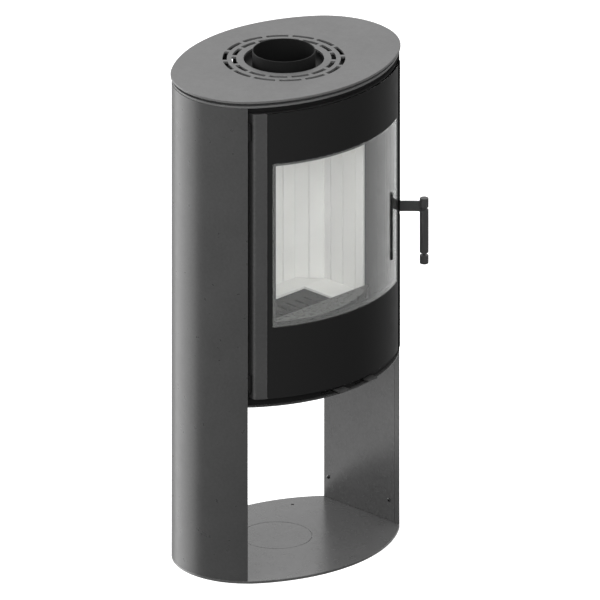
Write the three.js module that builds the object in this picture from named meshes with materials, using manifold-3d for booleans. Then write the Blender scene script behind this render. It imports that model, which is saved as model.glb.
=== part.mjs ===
// Freestanding wood burning stove on an oval plan, with a curved glass door and an open log store.
// Millimetres, +Z up. The origin is on the floor, at the centre of the oval. The door faces -Y.
import * as THREE from "three";
import { mergeVertices } from "three/addons/utils/BufferGeometryUtils.js";
import Module from "manifold-3d";

const wasm = await Module();
wasm.setup();

// ---------- driving dimensions ----------
const PLATE_HALF_LENGTH = 310.5; // top plate, centre to side
const PLATE_HALF_DEPTH = 224.5; // top plate, centre to front
const END_RADIUS = 181.5; // the small arcs of the oval
const BODY_INSET = 2.6; // side shells, behind the top plate's edge
const BASE_INSET = 2.6; // base plate, behind the top plate's edge
const DOOR_INSET = 0; // outer face of the door glass

const BASE_TOP = 6;
const STORE_TOP = 450.3; // underside of the body, over the log store
const FLOOR_TOP = 453.3;
const DOOR_BOTTOM = 471;
const DOOR_TOP = 1200;
const SHELL_TOP = 1214.9;
const UNDER_PLATE = [1215.2, 1220.7];
const TOP_PLATE = [1228, 1234];
const COLLAR_TOP = 1254;

const CHEEK_X = 253.8; // storage side face of the flat column cheeks
const SHEET = 2.5; // folded sheet steel
const GAP = 0.3; // between pieces that touch
const DOOR_HALF_WIDTH = 243.2;
const GLASS_HALF_WIDTH = 218.6;
const WINDOW = { x: 197, low: 662, high: 1063 }; // clear opening of the door frame
const GLASS_THICK = 4;

const FLUE = { x: 0, y: 5.5, outer: 75, inner: 72.7, plateHole: 95.5, flange: 112 };
const SLOT_COUNT = 14; // convection slots in each of the two rings
const HINGE = { x: -248.5, y: -128 };
const LATCH = { x: 236, y: -122 }; // vertical pivot of the handle lever
const GRIP = { x: 290.6, y: -174, radius: 10.7, core: 4 };
const LEVER_TRAVEL = 35; // sideways travel of each air slide
const LEVER_Z = [457.3, 461.3];
const PRIMARY_X = -32; // middle of the primary air tab, at rest
const SECONDARY_X = 67;

const LINER = { x: 170, back: 88, front: -88, thick: 30, low: 585.3, high: 1085, cornerX: 120, cornerY: 38 };
const HEARTH_TOP = 615;
const GRATE = { x: 95, front: -72, back: 32.5, low: 600, high: 610 };
const SHELF = { low: 631, high: 634, inset: 69.5, x: 182, lipX: 170 };
const FACE_Y = -92.3; // front of the firebox box, where the flat face plate sits

// ---------- the oval ----------
const END_X = PLATE_HALF_LENGTH - END_RADIUS;
const SIDE_RADIUS =
  (END_X ** 2 + PLATE_HALF_DEPTH ** 2 - END_RADIUS ** 2) / (2 * (PLATE_HALF_DEPTH - END_RADIUS));
const SIDE_Y = SIDE_RADIUS - PLATE_HALF_DEPTH;
const JOIN_ANGLE = Math.atan2(SIDE_Y, END_X);

const v2 = (x, y) => new THREE.Vector2(x, y);

function arc(cx, cy, r, from, to, steps) {
  const points = [];
  for (let i = 0; i <= steps; i++) {
    const a = from + ((to - from) * i) / steps;
    points.push(v2(cx + r * Math.cos(a), cy + r * Math.sin(a)));
  }
  return points;
}

function tidy(points) {
  const kept = [];
  for (const p of points) {
    if (!kept.length || kept[kept.length - 1].distanceTo(p) > 0.01) kept.push(p);
  }
  if (kept[0].distanceTo(kept[kept.length - 1]) < 0.01) kept.pop();
  return kept;
}

function oval(inset, steps = 12) {
  const end = END_RADIUS - inset;
  const side = SIDE_RADIUS - inset;
  const turn = Math.PI;
  return tidy([
    ...arc(END_X, 0, end, -JOIN_ANGLE, JOIN_ANGLE, steps),
    ...arc(0, -SIDE_Y, side, JOIN_ANGLE, turn - JOIN_ANGLE, steps),
    ...arc(-END_X, 0, end, turn - JOIN_ANGLE, turn + JOIN_ANGLE, steps),
    ...arc(0, SIDE_Y, side, turn + JOIN_ANGLE, 2 * turn - JOIN_ANGLE, steps),
  ]);
}

// Distance from the long axis to the oval's edge, at a place along it.
function depthAt(x, inset) {
  const side = SIDE_RADIUS - inset;
  const end = END_RADIUS - inset;
  const join = side * Math.cos(JOIN_ANGLE);
  if (Math.abs(x) <= join) return Math.sqrt(side ** 2 - x ** 2) - SIDE_Y;
  return Math.sqrt(Math.max(0, end ** 2 - (Math.abs(x) - END_X) ** 2));
}

// Points of the front edge from x0 to x1; sign 1 gives the rear edge instead.
function edge(x0, x1, inset, steps, sign = -1) {
  const points = [];
  for (let i = 0; i <= steps; i++) {
    const x = x0 + ((x1 - x0) * i) / steps;
    points.push(v2(x, sign * depthAt(x, inset)));
  }
  return points;
}

// A curved wall between two insets.
function band(x0, x1, outer, inner, steps, sign = -1) {
  const points = [...edge(x0, x1, outer, steps, sign), ...edge(x0, x1, inner, steps, sign).reverse()];
  return sign < 0 ? points : points.reverse();
}

// From a curved front edge back to a straight line.
function dSlab(x, inset, yBack, steps = 16) {
  return [...edge(-x, x, inset, steps), v2(x, yBack), v2(-x, yBack)];
}

// ---------- solids ----------
function prism(points, z0, z1, holes = []) {
  const shape = new THREE.Shape(tidy(points));
  const g = new THREE.ExtrudeGeometry(shape, { depth: z1 - z0, bevelEnabled: false, curveSegments: 1 });
  g.translate(0, 0, z0);
  return holes.length ? cut(g, ...holes.map((hole) => prism(hole, z0 - 1, z1 + 1))) : g;
}

function block(x0, x1, y0, y1, z0, z1) {
  const box = new THREE.BoxGeometry(x1 - x0, y1 - y0, z1 - z0);
  return box.translate((x0 + x1) / 2, (y0 + y1) / 2, (z0 + z1) / 2);
}

function cylinder(x, y, r, z0, z1, sides = 16) {
  return new THREE.CylinderGeometry(r, r, z1 - z0, sides)
    .rotateX(Math.PI / 2)
    .translate(x, y, (z0 + z1) / 2);
}

function alongX(y, z, r, x0, x1, sides = 10) {
  return new THREE.CylinderGeometry(r, r, x1 - x0, sides)
    .rotateZ(Math.PI / 2)
    .translate((x0 + x1) / 2, y, z);
}

const rectangle = (x0, x1, y0, y1) => [v2(x0, y0), v2(x1, y0), v2(x1, y1), v2(x0, y1)];
const circle = (x, y, r, steps = 24) => arc(x, y, r, 0, 2 * Math.PI, steps);

function solid(geometry) {
  const bare = new THREE.BufferGeometry().setAttribute("position", geometry.getAttribute("position"));
  if (geometry.index) bare.setIndex(geometry.index);
  const merged = mergeVertices(bare.index ? bare.toNonIndexed() : bare, 1e-3);
  return new wasm.Manifold(
    new wasm.Mesh({
      numProp: 3,
      vertProperties: new Float32Array(merged.attributes.position.array),
      triVerts: new Uint32Array(merged.index.array),
    }),
  );
}

function geometryOf(made) {
  const mesh = made.getMesh();
  const g = new THREE.BufferGeometry();
  g.setAttribute("position", new THREE.BufferAttribute(new Float32Array(mesh.vertProperties), 3));
  g.setIndex(new THREE.BufferAttribute(new Uint32Array(mesh.triVerts), 1));
  g.computeVertexNormals();
  return g;
}

const join = (...parts) => geometryOf(parts.map(solid).reduce((a, b) => a.add(b)));
const cut = (body, ...tools) => geometryOf(tools.map(solid).reduce((a, b) => a.subtract(b), solid(body)));

// ---------- finishes ----------
const finish = (color, roughness, metalness, more = {}) =>
  new THREE.MeshStandardMaterial({ color, roughness, metalness, ...more });
const PAINT = finish(0x3b3b3d, 0.45, 0.3);
const DARK = finish(0x1a1a1b, 0.6, 0.3);
const GLASS = finish(0x0c0d0e, 0.08, 0, { transparent: true, opacity: 0.45 });
const BRICK = finish(0xd9d4ca, 0.95, 0);
const IRON = finish(0x4a4a4c, 0.75, 0.6);
const FIBRE = finish(0x2c2c2c, 1, 0);
const STEEL = finish(0x9a9a9c, 0.35, 0.9);
const ZINC = finish(0x8b8d90, 0.5, 0.8);

const stove = new THREE.Group();

function add(name, geometry, material) {
  const mesh = new THREE.Mesh(geometry, material);
  mesh.name = name;
  stove.add(mesh);
}

const SIDES = [
  ["left", -1],
  ["right", 1],
];

// Mirrors a right-hand piece to the left.
function onSide(geometry, sign) {
  return sign > 0 ? geometry : geometryOf(solid(geometry).mirror([1, 0, 0]));
}

// ---------- base ----------
const COVER = { x: 0, y: 30, r: 84, gap: 0.8 }; // knock-out for an outside air supply
const BASE_HOLE = { x: 164, y: 140, r: 4 };

add(
  "base_plate",
  prism(oval(BASE_INSET), 0, BASE_TOP, [
    circle(COVER.x, COVER.y, COVER.r + COVER.gap),
    circle(BASE_HOLE.x, BASE_HOLE.y, BASE_HOLE.r, 10),
    circle(-BASE_HOLE.x, BASE_HOLE.y, BASE_HOLE.r, 10),
  ]),
  PAINT,
);
add("air_inlet_cover", prism(circle(COVER.x, COVER.y, COVER.r), 0, BASE_TOP), PAINT);

// ---------- side columns ----------
const SCREW = { z: 59, rearY: 110, frontY: -93, hole: 2.8, shank: 2.4, head: 4.6, proud: 2.6, length: 8 };
const ANGLE = { front: -100, back: 98, high: 72, footX: 28, footY: 60 }; // fixes a cheek to the base
const COLUMN_STEPS = 14;
const FRONT_RETURN = 17; // length of the folded edge that shows beside the cheek
const REAR_RETURN_Y = 100;

function shellSection() {
  const outer = END_RADIUS - BODY_INSET;
  const inner = outer - SHEET;
  const rearX = CHEEK_X + SHEET + GAP;
  const at = (x, r) => Math.acos((x - END_X) / r);
  const front = at(CHEEK_X, outer);
  const frontY = -depthAt(CHEEK_X, BODY_INSET);
  return [
    ...arc(END_X, 0, outer, -front, at(rearX, outer), COLUMN_STEPS),
    v2(rearX, REAR_RETURN_Y),
    v2(rearX + SHEET, REAR_RETURN_Y),
    ...arc(END_X, 0, inner, at(rearX + SHEET, inner), -at(CHEEK_X + SHEET, inner), COLUMN_STEPS),
    v2(CHEEK_X + SHEET, frontY + FRONT_RETURN),
    v2(CHEEK_X, frontY + FRONT_RETURN),
  ];
}

const CHEEK_FRONT = -depthAt(CHEEK_X, BODY_INSET) + FRONT_RETURN + GAP;
const CHEEK_REAR = 124.7;

const screwHole = (y) => alongX(y, SCREW.z, SCREW.hole, CHEEK_X - 1, CHEEK_X + 10);

function cheekScrew(y) {
  const taper = 1.2;
  const profile = [
    v2(0, -SCREW.proud),
    v2(SCREW.head - taper, -SCREW.proud),
    v2(SCREW.head, taper - SCREW.proud),
    v2(SCREW.head, -GAP),
    v2(SCREW.shank, -GAP),
    v2(SCREW.shank, SCREW.length),
    v2(0, SCREW.length),
  ];
  return new THREE.LatheGeometry(profile, 12).rotateZ(-Math.PI / 2).translate(CHEEK_X, y, SCREW.z);
}

for (const [side, sign] of SIDES) {
  const shell = cut(prism(shellSection(), BASE_TOP + GAP, SHELL_TOP), screwHole(SCREW.rearY));
  add(side + "_side_shell", onSide(shell, sign), PAINT);

  const cheek = cut(
    block(CHEEK_X, CHEEK_X + SHEET, CHEEK_FRONT, CHEEK_REAR, BASE_TOP + GAP, SHELL_TOP),
    screwHole(SCREW.rearY),
    screwHole(SCREW.frontY),
  );
  add(side + "_cheek_plate", onSide(cheek, sign), PAINT);

  const legX = CHEEK_X + SHEET + GAP;
  const angle = cut(
    join(
      block(legX, legX + SHEET, ANGLE.front, ANGLE.back, BASE_TOP + GAP, ANGLE.high),
      block(legX + 1, legX + ANGLE.footX, -ANGLE.footY, ANGLE.footY, BASE_TOP + GAP, BASE_TOP + GAP + SHEET),
    ),
    screwHole(SCREW.frontY),
  );
  add(side + "_base_angle", onSide(angle, sign), DARK);

  add(side + "_front_cheek_screw", onSide(cheekScrew(SCREW.frontY), sign), STEEL);
  add(side + "_rear_cheek_screw", onSide(cheekScrew(SCREW.rearY), sign), STEEL);
}

// ---------- body: floor, lip, rear panel, header ----------
const REAR_INSET = 7;
const FLOOR_INSET = 3;
const BODY_HALF = 250; // half the length of the lip, the header and the rear panel
const LIP_INSET = 11;
const LIP_TOP = 469.5;
const slabOutline = [
  ...edge(-(CHEEK_X - GAP), CHEEK_X - GAP, FLOOR_INSET, 24),
  ...edge(-(CHEEK_X - GAP), CHEEK_X - GAP, REAR_INSET, 16, 1).reverse(),
];

const PORT = { half: 14, front: -172, back: -128 }; // air hole in the floor, under the far end of a slide
const LIP_SLOT = { half: 17, front: -230, back: -180 };

function airPort(x) {
  const middle = x - LEVER_TRAVEL;
  return block(middle - PORT.half, middle + PORT.half, PORT.front, PORT.back, STORE_TOP - 5, FLOOR_TOP + 5);
}

function lipSlot(x) {
  const start = x - LEVER_TRAVEL - LIP_SLOT.half;
  return block(start, x + LIP_SLOT.half, LIP_SLOT.front, LIP_SLOT.back, LEVER_Z[0] - 1, LEVER_Z[1] + 1);
}

add(
  "body_floor",
  cut(prism(slabOutline, STORE_TOP, FLOOR_TOP), airPort(PRIMARY_X), airPort(SECONDARY_X)),
  PAINT,
);
add(
  "front_lip",
  cut(
    prism(band(-BODY_HALF, BODY_HALF, LIP_INSET, LIP_INSET + SHEET, 24), FLOOR_TOP + GAP, LIP_TOP),
    lipSlot(PRIMARY_X),
    lipSlot(SECONDARY_X),
  ),
  DARK,
);

const HEADER_INSET = 12.5;
const VENT = { rows: [520, 1110], long: 60, half: 4, pitch: 34 }; // convection slots in the rear panel
const ventSlots = [];
for (const z of VENT.rows) {
  for (let i = -4; i <= 4; i++) {
    const x = i * VENT.pitch;
    ventSlots.push(block(x - VENT.half, x + VENT.half, 150, 240, z, z + VENT.long));
  }
}
add(
  "rear_panel",
  cut(
    prism(band(-BODY_HALF, BODY_HALF, REAR_INSET, REAR_INSET + SHEET, 16, 1), FLOOR_TOP + GAP, SHELL_TOP),
    ...ventSlots,
  ),
  PAINT,
);
add(
  "front_header",
  prism(band(-BODY_HALF, BODY_HALF, HEADER_INSET, HEADER_INSET + SHEET, 16), DOOR_TOP + 2, SHELL_TOP),
  DARK,
);

// ---------- top ----------
function ringSlots(inner, outer, gap, turn) {
  const slots = [];
  const pitch = (2 * Math.PI) / SLOT_COUNT;
  const half = pitch / 2 - gap / 2 / ((inner + outer) / 2);
  for (let i = 0; i < SLOT_COUNT; i++) {
    const a = (i + turn) * pitch;
    slots.push([
      ...arc(FLUE.x, FLUE.y, outer, a - half, a + half, 3),
      ...arc(FLUE.x, FLUE.y, inner, a + half, a - half, 3),
    ]);
  }
  return slots;
}

const OUTER_SLOTS = [135.2, 145.6];
const INNER_SLOTS = [113, 124];
const SLOT_GAP = 10;
const UNDER_HOLE = 160; // opening of the under plate, wider than the slots over it
const SPACER = { outer: BODY_INSET + 17, inner: BODY_INSET + 29 };

add(
  "under_plate",
  prism(oval(BODY_INSET + 0.8), ...UNDER_PLATE, [circle(FLUE.x, FLUE.y, UNDER_HOLE, 32)]),
  DARK,
);
add(
  "top_spacer",
  prism(oval(SPACER.outer), UNDER_PLATE[1] + GAP, TOP_PLATE[0] - GAP, [oval(SPACER.inner)]),
  DARK,
);
add(
  "top_plate",
  prism(oval(0), ...TOP_PLATE, [
    circle(FLUE.x, FLUE.y, FLUE.plateHole, 40),
    ...ringSlots(...OUTER_SLOTS, SLOT_GAP, 0),
    ...ringSlots(...INNER_SLOTS, SLOT_GAP, 0.5),
  ]),
  PAINT,
);

const COLLAR_LOW = 1180; // reaches down into the firebox
const FLANGE_Z = [1213, 1216];
const collarProfile = [
  v2(FLUE.inner, COLLAR_LOW),
  v2(FLUE.outer, COLLAR_LOW),
  v2(FLUE.outer, FLANGE_Z[0]),
  v2(FLUE.flange, FLANGE_Z[0]),
  v2(FLUE.flange, FLANGE_Z[1]),
  v2(FLUE.outer, FLANGE_Z[1]),
  v2(FLUE.outer, COLLAR_TOP),
  v2(FLUE.inner, COLLAR_TOP),
  v2(FLUE.inner, COLLAR_LOW),
];
add(
  "flue_collar",
  new THREE.LatheGeometry(collarProfile, 40).rotateX(Math.PI / 2).translate(FLUE.x, FLUE.y, 0),
  DARK,
);

// ---------- firebox ----------
const FIREBOX = { x: 205, back: 123, low: 580, high: 1200, wall: 4 };
const ASH_HOLE = { x: 88, front: -66, back: 27 };
const ROOF_LOW = FIREBOX.high - FIREBOX.wall;
add(
  "firebox_shell",
  cut(
    block(-FIREBOX.x, FIREBOX.x, FACE_Y + GAP, FIREBOX.back, FIREBOX.low, ROOF_LOW - GAP),
    block(
      -FIREBOX.x + FIREBOX.wall,
      FIREBOX.x - FIREBOX.wall,
      FACE_Y - 10,
      FIREBOX.back - FIREBOX.wall,
      FIREBOX.low + FIREBOX.wall,
      FIREBOX.high + 10,
    ),
    block(-ASH_HOLE.x, ASH_HOLE.x, ASH_HOLE.front, ASH_HOLE.back, FIREBOX.low - 5, FIREBOX.low + 10),
  ),
  DARK,
);
add(
  "firebox_roof",
  prism(
    rectangle(-FIREBOX.x, FIREBOX.x, FACE_Y + GAP, FIREBOX.back),
    ROOF_LOW,
    FIREBOX.high,
    [circle(FLUE.x, FLUE.y, FLUE.outer + 0.5, 40)],
  ),
  DARK,
);

const THROAT = { x: 216, low: 600, high: 1118, wall: 4, inset: 34 };
const ASH_DOORWAY = { x: 130, low: 472, high: 576 };
const FACE_THICK = 3;
const FACE_OPENING = 172; // covers the front ends of the side bricks
const FACE_FRONT = FACE_Y - FACE_THICK - GAP; // where the pieces before the face plate start
add(
  "firebox_face",
  cut(
    block(-BODY_HALF, BODY_HALF, FACE_Y - FACE_THICK, FACE_Y, FLOOR_TOP + GAP, DOOR_TOP),
    block(-FACE_OPENING, FACE_OPENING, FACE_Y - 9, FACE_Y + 9, THROAT.low + 8, THROAT.high - 8),
    block(-ASH_DOORWAY.x, ASH_DOORWAY.x, FACE_Y - 9, FACE_Y + 9, ASH_DOORWAY.low, ASH_DOORWAY.high),
  ),
  DARK,
);
add(
  "door_throat",
  cut(
    prism(dSlab(THROAT.x, THROAT.inset, FACE_FRONT), THROAT.low, THROAT.high),
    prism(
      dSlab(THROAT.x - THROAT.wall, THROAT.inset - 20, FACE_Y + 10),
      THROAT.low + THROAT.wall,
      THROAT.high - THROAT.wall,
    ),
  ),
  DARK,
);
add(
  "ash_shelf",
  join(
    prism(dSlab(SHELF.x, SHELF.inset, FACE_FRONT), SHELF.low, SHELF.high),
    prism(
      band(-SHELF.lipX, SHELF.lipX, SHELF.inset, SHELF.inset + SHELF.high - SHELF.low, 16),
      THROAT.low + THROAT.wall + GAP,
      SHELF.low + 1,
    ),
  ),
  IRON,
);

// ---------- fire bricks ----------
const GROOVE = { half: 1.5, deep: 3 };
const SIDE_GROOVES = [101, 60, 19]; // from the rear edge of a side brick

function evenly(length, count) {
  return Array.from({ length: count }, (_, i) => (length * (i + 1)) / (count + 1));
}

// A straight brick face from a to b with vertical grooves cut to its left, at these distances from a.
function groovedFace(a, b, placesOn) {
  const along = b.clone().sub(a);
  const places = placesOn(along.length());
  along.normalize();
  const into = v2(along.y, -along.x);
  const at = (s, d) => a.clone().addScaledVector(along, s).addScaledVector(into, d);
  const points = [a.clone()];
  for (const s of places) {
    points.push(at(s - GROOVE.half, 0), at(s - GROOVE.half, GROOVE.deep));
    points.push(at(s + GROOVE.half, GROOVE.deep), at(s + GROOVE.half, 0));
  }
  points.push(b.clone());
  return points;
}

const OUTER_X = LINER.x + LINER.thick;
const OUTER_Y = LINER.back + LINER.thick;
const CORNER_CUT = 6; // width of the corner brick's front end beside the side brick
const backFace = groovedFace(
  v2(LINER.cornerX - GAP, LINER.back),
  v2(-LINER.cornerX + GAP, LINER.back),
  (length) => evenly(length, 5),
);
add(
  "back_brick",
  prism(
    [...backFace, v2(-LINER.cornerX + GAP, OUTER_Y), v2(LINER.cornerX - GAP, OUTER_Y)].reverse(),
    LINER.low,
    LINER.high,
  ),
  BRICK,
);
for (const [side, sign] of SIDES) {
  const corner = groovedFace(
    v2(LINER.x - CORNER_CUT, LINER.cornerY + GAP),
    v2(LINER.cornerX + GAP, LINER.back),
    (length) => evenly(length, 1),
  );
  const cornerPoints = [
    ...corner,
    v2(LINER.cornerX + GAP, OUTER_Y),
    v2(OUTER_X, OUTER_Y),
    v2(OUTER_X, LINER.cornerY + GAP),
  ];
  add(side + "_corner_brick", onSide(prism(cornerPoints.reverse(), LINER.low, LINER.high), sign), BRICK);

  const wall = groovedFace(
    v2(LINER.x, LINER.front),
    v2(LINER.x, LINER.cornerY - GAP),
    (length) => SIDE_GROOVES.map((fromRear) => length - fromRear),
  );
  const wallPoints = [...wall, v2(OUTER_X, LINER.cornerY - GAP), v2(OUTER_X, LINER.front)];
  add(side + "_side_brick", onSide(prism(wallPoints.reverse(), LINER.low, LINER.high), sign), BRICK);

  const hearth = [
    v2(GRATE.x + 0.8, GRATE.front + GAP),
    v2(LINER.x - 0.5, GRATE.front + GAP),
    v2(LINER.x - 0.5, LINER.cornerY - 1),
    v2(LINER.x - 7, LINER.cornerY - 1),
    v2(LINER.x - 10.5, GRATE.back),
    v2(GRATE.x + 0.8, GRATE.back),
  ];
  add(side + "_hearth_brick", onSide(prism(hearth, LINER.low, HEARTH_TOP), sign), BRICK);
}
add(
  "front_hearth_brick",
  block(-LINER.x + 0.5, LINER.x - 0.5, LINER.front + GAP, GRATE.front - GAP, LINER.low, HEARTH_TOP),
  BRICK,
);
add(
  "rear_hearth_brick",
  prism(
    [
      v2(-LINER.x + 10.5, GRATE.back + 0.8),
      v2(LINER.x - 10.5, GRATE.back + 0.8),
      v2(LINER.cornerX - 1, LINER.back - GAP),
      v2(-LINER.cornerX + 1, LINER.back - GAP),
    ],
    LINER.low,
    HEARTH_TOP,
  ),
  BRICK,
);

const GRATE_SLOT = { pitch: 28, half: 3.5, rows: [[-66, -40], [-34, -3]] };
const grateSlots = [];
for (let i = -2; i <= 2; i++) {
  const x = i * GRATE_SLOT.pitch;
  for (const row of GRATE_SLOT.rows) {
    grateSlots.push(rectangle(x - GRATE_SLOT.half, x + GRATE_SLOT.half, ...row));
  }
}
add(
  "grate",
  prism(
    rectangle(-GRATE.x, GRATE.x, GRATE.front + 0.5, GRATE.back - 0.5),
    GRATE.low,
    GRATE.high,
    grateSlots,
  ),
  IRON,
);

// ---------- baffles ----------
const LOWER_BAFFLE = { front: -60, thick: 25 };
add(
  "lower_baffle",
  block(-OUTER_X, OUTER_X, LOWER_BAFFLE.front, OUTER_Y, LINER.high + GAP, LINER.high + LOWER_BAFFLE.thick),
  BRICK,
);
const BAFFLE = { x: 200.5, front: -88, back: 62, low: 1111, high: 1143, thick: 3 };
const baffleLeg = block(
  BAFFLE.x - BAFFLE.thick,
  BAFFLE.x,
  BAFFLE.front,
  BAFFLE.back,
  BAFFLE.low,
  BAFFLE.high,
);
add(
  "upper_baffle",
  join(
    block(1 - BAFFLE.x, BAFFLE.x - 1, BAFFLE.front, BAFFLE.back, BAFFLE.high - BAFFLE.thick, BAFFLE.high),
    baffleLeg,
    onSide(baffleLeg, -1),
  ),
  DARK,
);

// ---------- ash pan and its box ----------
const ASH_BOX = { x: 127, back: 106, low: 471, high: FIREBOX.low - GAP, wall: 2 };
add(
  "ash_box",
  cut(
    block(-ASH_BOX.x, ASH_BOX.x, FACE_Y + GAP, ASH_BOX.back, ASH_BOX.low, ASH_BOX.high),
    block(
      -ASH_BOX.x + ASH_BOX.wall,
      ASH_BOX.x - ASH_BOX.wall,
      FACE_Y - 9,
      ASH_BOX.back - ASH_BOX.wall,
      ASH_BOX.low + ASH_BOX.wall,
      ASH_BOX.high + 10,
    ),
  ),
  DARK,
);
const PAN = { x: 120, front: -100, back: 98, low: 474, high: 566, wall: 1.5 };
const PAN_GRIP = { x: 35, proud: 14, low: PAN.high - 4, high: PAN.high - 2 };
add(
  "ash_pan",
  join(
    cut(
      block(-PAN.x, PAN.x, PAN.front, PAN.back, PAN.low, PAN.high),
      block(
        -PAN.x + PAN.wall,
        PAN.x - PAN.wall,
        PAN.front + PAN.wall,
        PAN.back - PAN.wall,
        PAN.low + PAN.wall,
        PAN.high + 9,
      ),
    ),
    block(-PAN_GRIP.x, PAN_GRIP.x, PAN.front - PAN_GRIP.proud, PAN.front + 1, PAN_GRIP.low, PAN_GRIP.high),
  ),
  ZINC,
);

// ---------- air slides ----------
const TAB = { half: 15, long: 40, proud: 7.5 }; // proud: how far a tab stands out past the door
const SLIDE = { half: 19.5, start: 34, back: -122 }; // flat plate that covers the air hole
function airSlide(x) {
  const front = -depthAt(x, DOOR_INSET) - TAB.proud;
  return join(
    block(x - TAB.half, x + TAB.half, front, front + TAB.long, ...LEVER_Z),
    block(x - SLIDE.half, x + SLIDE.half, front + SLIDE.start, SLIDE.back, FLOOR_TOP + GAP, LEVER_Z[0] + 1),
  );
}
add("primary_air_slide", airSlide(PRIMARY_X), DARK);
add("secondary_air_slide", airSlide(SECONDARY_X), DARK);

const AIR_BOX = { x: 95, front: -186, back: -112, low: FLOOR_TOP + GAP, high: 466.3, wall: 2 };
const airBoxEnd = block(
  AIR_BOX.x - AIR_BOX.wall,
  AIR_BOX.x,
  AIR_BOX.front,
  AIR_BOX.back,
  AIR_BOX.low,
  AIR_BOX.high,
);
const airBoxWall = (y0, y1, low) => block(-AIR_BOX.x, AIR_BOX.x, y0, y1, low, AIR_BOX.high);
add(
  "air_box",
  join(
    airBoxWall(AIR_BOX.front, AIR_BOX.back, AIR_BOX.high - AIR_BOX.wall),
    airBoxEnd,
    onSide(airBoxEnd, -1),
    airBoxWall(AIR_BOX.back - AIR_BOX.wall, AIR_BOX.back, AIR_BOX.low),
    airBoxWall(AIR_BOX.front, AIR_BOX.front + AIR_BOX.wall, LEVER_Z[1] + 1),
  ),
  DARK,
);

// ---------- door ----------
const FRAME_INSET = [DOOR_INSET + GLASS_THICK + 2.3, DOOR_INSET + 27.5];
const FRAME_SHEET = 3;
const WINDOW_RIM = { wide: 3, deep: 7 };
// where the handle lever passes the frame's rim
const NOTCH = { x: 225, wallX: 238, endX: 260, front: -128.5, wallFront: -150, back: -60 };
const NOTCH_Z = [798, 850];
const ARM_Z = [809.8, 836]; // the lever's flat bar

function doorSlab(x, z0, z1, outer, inner) {
  return prism(band(-x, x, outer, inner, 20), z0, z1);
}

add(
  "door_frame",
  cut(
    join(
      cut(
        doorSlab(DOOR_HALF_WIDTH, DOOR_BOTTOM, DOOR_TOP, ...FRAME_INSET),
        doorSlab(
          DOOR_HALF_WIDTH - FRAME_SHEET,
          DOOR_BOTTOM + FRAME_SHEET,
          DOOR_TOP - FRAME_SHEET,
          FRAME_INSET[0] + FRAME_SHEET,
          FRAME_INSET[1] + 20,
        ),
      ),
      doorSlab(
        WINDOW.x + WINDOW_RIM.wide,
        WINDOW.low - WINDOW_RIM.wide,
        WINDOW.high + WINDOW_RIM.wide,
        FRAME_INSET[0] + 1,
        FRAME_INSET[0] + WINDOW_RIM.deep,
      ),
    ),
    doorSlab(WINDOW.x, WINDOW.low, WINDOW.high, 0, FRAME_INSET[0] + 40),
    block(NOTCH.x, NOTCH.endX, NOTCH.front, NOTCH.back, ...NOTCH_Z),
    block(NOTCH.wallX, NOTCH.endX, NOTCH.wallFront, NOTCH.back, ...NOTCH_Z),
  ),
  PAINT,
);
add(
  "door_glass",
  doorSlab(GLASS_HALF_WIDTH, DOOR_BOTTOM, DOOR_TOP, DOOR_INSET, DOOR_INSET + GLASS_THICK),
  GLASS,
);
const GASKET = { inner: 4, outer: 13, innerZ: 5, outerZ: 18 }; // round the window
add(
  "glass_gasket",
  cut(
    doorSlab(
      WINDOW.x + GASKET.outer,
      WINDOW.low - GASKET.outerZ,
      WINDOW.high + GASKET.outerZ,
      DOOR_INSET + GLASS_THICK + GAP,
      FRAME_INSET[0] - GAP,
    ),
    doorSlab(WINDOW.x + GASKET.inner, WINDOW.low - GASKET.innerZ, WINDOW.high + GASKET.innerZ, 0, 60),
  ),
  FIBRE,
);
const ROPE_INSET = [FRAME_INSET[0] + FRAME_SHEET + GAP, THROAT.inset - GAP];
const ROPE = { inner: 8, outerX: 3, outerZ: 4 }; // past the throat's edge
add(
  "door_rope_seal",
  cut(
    doorSlab(THROAT.x + ROPE.outerX, THROAT.low - ROPE.outerZ, THROAT.high + ROPE.outerZ, ...ROPE_INSET),
    doorSlab(THROAT.x - ROPE.inner, THROAT.low + ROPE.inner, THROAT.high - ROPE.inner, 0, 80),
  ),
  FIBRE,
);
const STRIP_GAP = 0.8; // between the glass and the steel strip beside it
const doorStrip = prism(
  band(GLASS_HALF_WIDTH + STRIP_GAP, DOOR_HALF_WIDTH, DOOR_INSET, FRAME_INSET[0] - GAP, 3),
  DOOR_BOTTOM,
  DOOR_TOP,
);
const stripNotch = block(NOTCH.wallX, NOTCH.endX, NOTCH.wallFront, NOTCH.back, ARM_Z[0] - 3, ARM_Z[1] + 3);
add("left_door_strip", onSide(doorStrip, -1), PAINT);
add("right_door_strip", cut(doorStrip, stripNotch), PAINT);

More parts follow.
